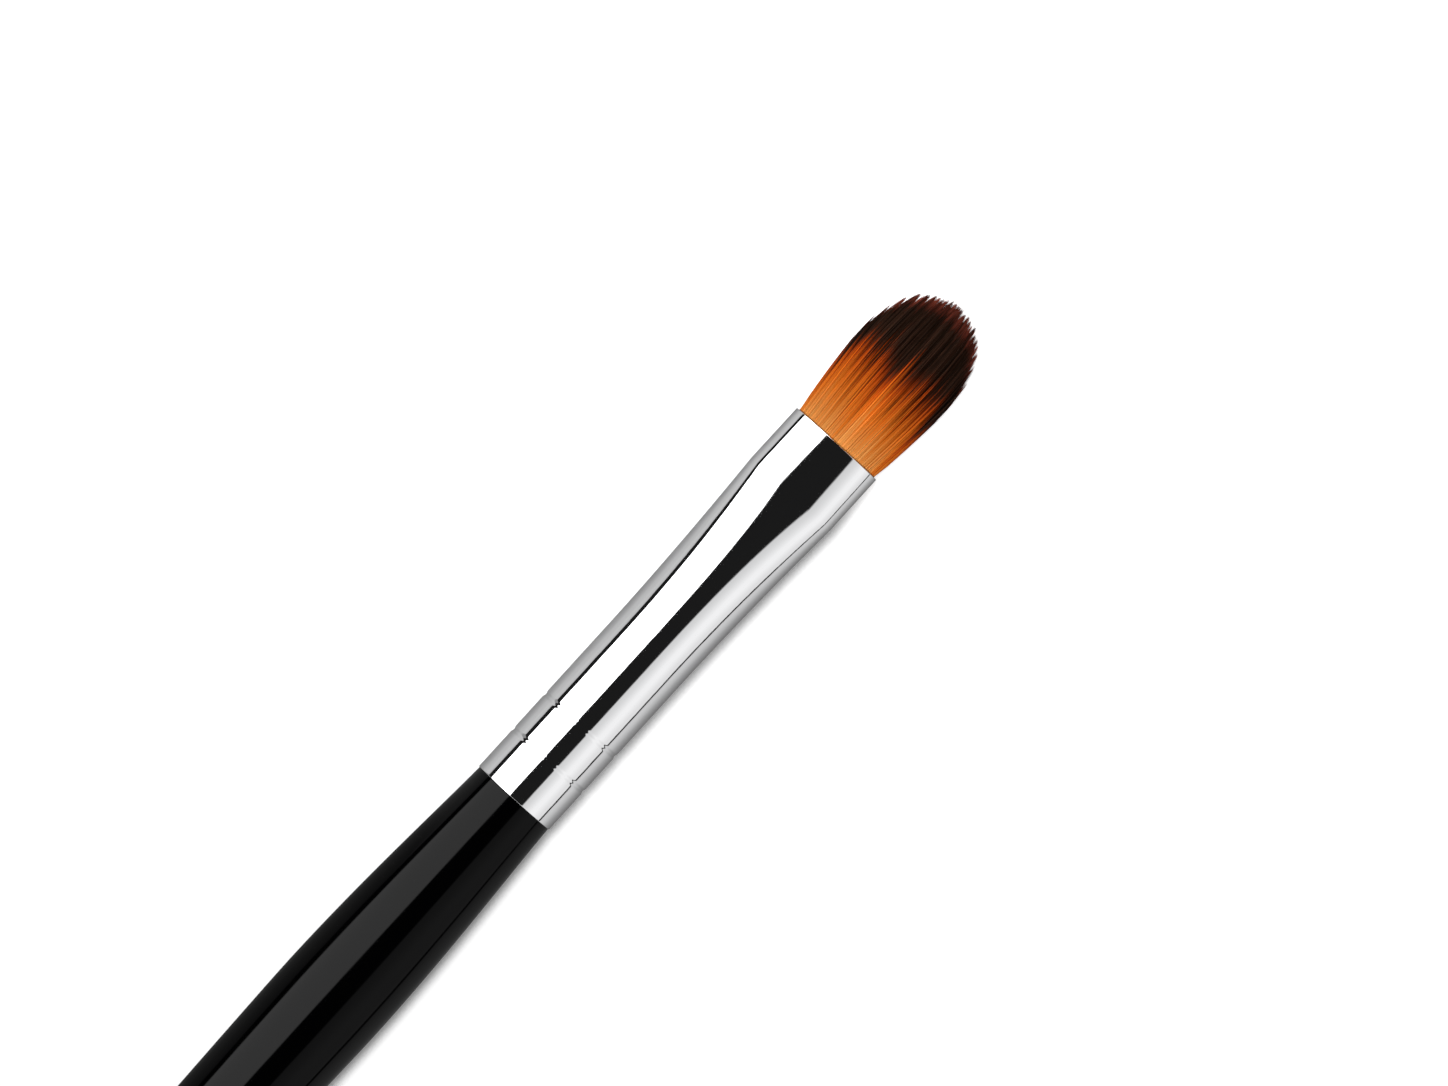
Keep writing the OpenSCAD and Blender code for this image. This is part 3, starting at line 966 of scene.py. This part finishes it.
class BRUSH_OT_tuft(bpy.types.Operator):
    """Fill the ferrule's mouth with filaments that fan out and end in an oval"""

    bl_idname = "brush.tuft"
    bl_label = "Tuft"

    def execute(self, context):
        s = settings()
        t = s.tuft
        d = s.dye
        rng = np.random.default_rng(t.seed)
        layers = ("tuft_lower", "tuft_middle", "tuft_upper")
        amount = t.filaments * len(layers)
        spots = tuft_places(amount, rng)
        spots = spots[np.argsort(spots[:, 1], kind="stable")]
        centres = tuft_places(t.clumps, rng)
        away = np.linalg.norm(spots[:, None, :] - centres[None, :, :], axis=2)
        clump = np.argmin(away, axis=1)
        clump_tone = rng.normal(MIDDLE_TONE, CLUMP_TONES, t.clumps)
        clump_dye = rng.normal(0.0, d.clump_spread, t.clumps)
        end, to_middle = lock_ends(spots[:, 0], rng)
        strands = {
            "spot": spots,
            "pull": centres[clump] - spots,
            "tooth": to_middle,
            "tone": np.clip(clump_tone[clump] + rng.normal(0, STRAND_TONES, amount), 0, 1),
            "dye": clump_dye[clump] + rng.normal(0, d.strand_spread, amount),
            "end": end - np.abs(rng.normal(0, END_SCATTER, amount)),
            "sway": rng.normal(0, 1.0, (amount, 2)),
            "turn": rng.uniform(0, math.tau, amount),
        }
        drawn = [rng.uniform(low, high, t.streaks) * unit for low, high, unit in STREAK_RANGES]
        streaks = list(zip(*drawn))
        material = filament_material()
        for index, name in enumerate(layers):
            part = slice(index * t.filaments, (index + 1) * t.filaments)
            layer = {key: values[part] for key, values in strands.items()}
            mesh, height, y_share, left = strand_mesh(layer)
            tint_strands(mesh, layer, streaks, height, y_share, left)
            placed(name, mesh, material, "bristle_tuft", smooth_angle=60)
        return {"FINISHED"}


def strand_mesh(layer):
    """Copies one filament for each place and bends the copies to the fan.

    With the mesh come, for each of its points, the height above the mouth, the share of the way to
    the side and the length left to the filament's tip.
    """
    s = settings()
    t = s.tuft
    template = strand_template(STRAND_RINGS, STRAND_SIDES)
    template.verts.ensure_lookup_table()
    plan = np.array([v.co for v in template.verts])
    mesh = copied(template, len(layer["tone"]))
    level = plan[:, 2] / (STRAND_RINGS - 1)

    spots = layer["spot"]
    top = cut_heights(spots[:, 0]) + layer["end"] - FACE_DROP * spots[:, 1] ** 2
    top = top + END_LIFT + SIDE_LIFT * np.abs(spots[:, 0]) ** SIDE_POWER
    top = np.minimum(top, t.tuft_length)
    height = -t.root_reach + (top[:, None] + t.root_reach) * level[None, :] ** RING_POWER
    wide, thick = fan_halves(np.maximum(height, 0))
    left = top[:, None] - height
    along = np.clip(height / t.tuft_length, 0, 1)
    gather = t.clump_pull * along ** GATHER_POWER
    point = t.tooth_pull * np.clip(1 - left / t.tooth_reach, 0, 1)
    y_share = spots[:, 0, None] + gather * layer["pull"][:, 0, None]
    y_share = y_share + point * (layer["tooth"][:, None] + spots[:, 0, None] - y_share)
    z_share = spots[:, 1, None] + gather * layer["pull"][:, 1, None]
    sway = t.sway * along ** SWAY_POWER
    y = y_share * wide + sway * layer["sway"][:, 0, None]
    z = z_share * thick + sway * layer["sway"][:, 1, None]

    taper = np.clip(left / t.taper_length, 0, 1) ** STRAND_TAPER
    radius = t.filament_radius * np.maximum(taper, TIP_SHARE)
    turn = layer["turn"][:, None]
    across, up = rolled(plan[None, :, 0], plan[None, :, 1], turn)
    y, z = rolled(y, z, math.radians(s.ferrule.mouth_roll))
    x = shoulder_x() + s.ferrule.ferrule_length + height
    points = np.stack([x, y + across * radius, axis_height() + z + up * radius], axis=2)
    mesh.vertices.foreach_set("co", points.reshape(-1).astype(np.float32))
    return mesh, height, y_share, left


def tint_strands(mesh, layer, streaks, height, y_share, left):
    """Stores on each point how far into the dye it is, its tone with the streaks' painted shade and
    highlights in it, and how near the tip it is.
    """
    s = settings()
    d = s.dye
    tuft_length = s.tuft.tuft_length
    edge = within(np.abs(y_share), EDGE_ZONE)
    right = within(-y_share, RIGHT_ZONE)
    dipped = height - d.lift + layer["dye"][:, None]
    dipped = dipped + d.edge_drop * edge + d.side_drop * y_share ** 2 + d.right_drop * right
    # painted shade and painted highlights: each streak darkens, or below 0 lightens, a lane of filaments
    light = np.ones(height.shape)
    for side, width, start, depth, shift in streaks:
        near = np.exp(-((y_share - side) / width) ** 2)
        light = light * (1 - depth * near * within(height, (start, STREAK_RISE)))
        tongue = np.exp(-((y_share - side - TONGUE_OFFSET) / (TONGUE_WIDTH * width)) ** 2)
        dipped = dipped + shift * tongue
    dye = dipped / tuft_length
    dark = within(dye, DARK_ZONE)
    apart = 1 + TONE_SPREAD * within(height, TONE_ZONE) + DARK_SPREAD * dark
    light = np.minimum(light, MOST_LIGHT)
    light = light * (light / DARK_PIVOT) ** (DARK_POWER * dark)
    tone = MIDDLE_TONE + (layer["tone"][:, None] - MIDDLE_TONE) * apart
    # the streaks' painted shade and highlights go into the stored tone here
    tone = np.maximum((TONE_FLOOR + TONE_GAIN * tone) * light, LEAST_LIGHT) - TONE_FLOOR
    end = 1 - np.clip(left / tuft_length, 0, 1)
    for name, values in (("dye", dye), ("tone", tone), ("end", end)):
        data = mesh.attributes.new(name, "FLOAT", "POINT")
        data.data.foreach_set("value", np.ascontiguousarray(values, np.float32).reshape(-1))
    mesh.update()


class BRUSH_OT_root(bpy.types.Operator):
    """Make the tied root of the tuft inside the ferrule"""

    bl_idname = "brush.root"
    bl_label = "Tuft root"

    def execute(self, context):
        s = settings()
        r = s.root
        gap = s.tuft.root_clearance
        line = (
            (r.root_length, r.end_inset),
            (r.waist_rear, r.waist_inset),
            (r.waist_front, r.waist_inset),
            (r.bundle_rear, gap),
            (r.bundle_middle, gap),
            (r.bundle_front, gap),
        )
        mouth = s.ferrule.ferrule_length
        wall = s.ferrule.wall
        bm = lofted([section_at(mouth - back, wall + inset) for back, inset in line], r.segments)
        open_edges = [edge for edge in bm.edges if edge.is_boundary]
        for back in (r.root_length, r.bundle_front):
            here = shoulder_x() + mouth - back
            edges = [e for e in open_edges if abs(e.verts[0].co.x - here) < MERGE_GAP]
            bmesh.ops.contextual_create(bm, geom=edges)
        caps = [face for face in bm.faces if len(face.verts) > 4]
        bmesh.ops.inset_region(bm, faces=caps, thickness=r.cap_inset, use_even_offset=True)
        stuff = plain_stuff(
            "Bound filament", (0.20, 0.06, 0.012), (0.55, 0.22, 0.05),
            along=700.0, across=14000.0, rough=0.5, bump=0.6, distance=0.00004,
        )
        finished("tuft_root", bm, stuff, "bristle_tuft")
        return {"FINISHED"}


class BRUSH_OT_inside(bpy.types.Operator):
    """Give the resin, the thread and the glue inside the ferrule their materials"""

    bl_idname = "brush.inside"
    bl_label = "Resin, thread and glue"

    def execute(self, context):
        stuffs = {
            "root_plug": plain_stuff(
                "Root resin", (0.42, 0.25, 0.07), (0.62, 0.42, 0.16),
                along=500.0, across=500.0, rough=0.22, bump=0.2, distance=0.00003,
            ),
            "binding_thread": plain_stuff(
                "Binding thread", (0.62, 0.58, 0.48), (0.85, 0.82, 0.74),
                along=9000.0, across=3000.0, rough=0.8, bump=0.8, distance=0.00003,
            ),
            "tenon_glue": plain_stuff(
                "Tenon glue", (0.60, 0.48, 0.24), (0.76, 0.66, 0.40),
                along=800.0, across=800.0, rough=0.35, bump=0.2, distance=0.00002,
            ),
        }
        for node, stuff in stuffs.items():
            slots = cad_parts[node].data.materials
            slots.clear()
            slots.append(stuff)
        return {"FINISHED"}


class BRUSH_OT_studio(bpy.types.Operator):
    """Lay a pale floor under the brush, light it softly and set the camera"""

    bl_idname = "brush.studio"
    bl_label = "Studio"

    def execute(self, context):
        self.floor()
        self.key_light()
        self.surroundings(context)
        self.camera(context)
        context.scene.view_settings.view_transform = "Standard"
        return {"FINISHED"}

    def floor(self):
        bm = bmesh.new()
        bmesh.ops.create_grid(bm, x_segments=1, y_segments=1, size=settings().studio.floor_size / 2)
        mesh = bpy.data.meshes.new("floor")
        bm.to_mesh(mesh)
        bm.free()
        mesh.materials.append(sweep_material())
        in_scene("floor", mesh)

    def key_light(self):
        s = settings().studio
        lamp = bpy.data.lights.new("key", "SUN")
        lamp.energy = s.key_strength
        lamp.angle = math.radians(s.key_spread)
        key = in_scene("key", lamp)
        key.rotation_euler = Euler((-math.radians(s.key_tilt), 0, 0))
        key.visible_glossy = False

    def surroundings(self, context):
        """White panels to the left and right with a dark gap overhead, as the ferrule mirrors them."""
        world = bpy.data.worlds.new("Studio")
        world.use_nodes = True
        context.scene.world = world
        tree = world.node_tree
        tree.nodes.clear()
        place = tree.nodes.new("ShaderNodeTexCoord")
        parts = parts_of(tree, place.outputs["Generated"])
        right = maths(tree, "MULTIPLY", parts["Y"], -1.0)
        angle = maths(tree, "ARCTAN2", right, parts["Z"])
        turn = maths(tree, "MULTIPLY_ADD", angle, 1 / math.tau, 0.5)
        panels = curve_of(tree, turn, [(0.5 + degrees / 360, level) for degrees, level in PANELS])
        behind = fading(tree, parts["X"], BEHIND_START, BEHIND_END)
        panels = blended(tree, behind, panels, BEHIND_LEVEL)
        paths = tree.nodes.new("ShaderNodeLightPath")
        ambient = settings().studio.ambient
        plain = blended(tree, paths.outputs["Is Camera Ray"], (ambient,) * 3, (1.0, 1.0, 1.0))
        light = blended(tree, paths.outputs["Is Glossy Ray"], plain, panels)
        background = tree.nodes.new("ShaderNodeBackground")
        output = tree.nodes.new("ShaderNodeOutputWorld")
        link(
            tree,
            (light, background.inputs["Color"]),
            (background.outputs[0], output.inputs["Surface"]),
        )

    def camera(self, context):
        s = settings().studio
        data = bpy.data.cameras.new("camera")
        data.lens = s.focal_length
        data.sensor_width = SENSOR_WIDTH
        distance = s.view_width * s.focal_length / SENSOR_WIDTH
        camera = in_scene("camera", data)
        camera.location = (s.view_station, s.view_side, axis_height() + distance)
        camera.rotation_euler = Euler((0, 0, math.radians(-s.view_turn)))
        data.clip_start = distance / 2
        data.clip_end = distance * 2
        context.scene.camera = camera


def pointer(name, kind):
    return PointerProperty(name=name, description=kind.__doc__, type=kind)


class BrushSettings(bpy.types.PropertyGroup):
    """Everything that a user would change."""

    handle: pointer("Handle", HandleSizes)
    ferrule: pointer("Ferrule", FerruleSizes)
    tuft: pointer("Tuft", TuftSizes)
    dye: pointer("Dye", DyeSettings)
    root: pointer("Root", RootSizes)
    studio: pointer("Studio", StudioSettings)


class BRUSH_PT_panel(bpy.types.Panel):
    """Buttons for each piece of the brush"""

    bl_idname = "BRUSH_PT_panel"
    bl_label = "Eyeshadow Brush"
    bl_space_type = "VIEW_3D"
    bl_region_type = "UI"
    bl_category = "Brush"

    def draw(self, context):
        brush = context.scene.eyeshadow_brush
        for part in BrushSettings.__annotations__:
            sizes = getattr(brush, part)
            box = self.layout.box()
            box.label(text=part.capitalize())
            for name in sizes.__annotations__:
                box.prop(sizes, name)
        for operator in OPERATORS:
            self.layout.operator(operator.bl_idname)


OPERATORS = (
    BRUSH_OT_studio,
    BRUSH_OT_handle,
    BRUSH_OT_ferrule,
    BRUSH_OT_root,
    BRUSH_OT_tuft,
    BRUSH_OT_inside,
)
GROUPS = (HandleSizes, FerruleSizes, TuftSizes, DyeSettings, RootSizes, StudioSettings)
CLASSES = (*GROUPS, BrushSettings, *OPERATORS, BRUSH_PT_panel)


def register():
    for kind in CLASSES:
        bpy.utils.register_class(kind)
    bpy.types.Scene.eyeshadow_brush = PointerProperty(type=BrushSettings)


def unregister():
    del bpy.types.Scene.eyeshadow_brush
    for kind in reversed(CLASSES):
        bpy.utils.unregister_class(kind)


def main():
    register()
    for operator in OPERATORS:
        area, name = operator.bl_idname.split(".")
        getattr(getattr(bpy.ops, area), name)()


if __name__ == "__main__":
    main()
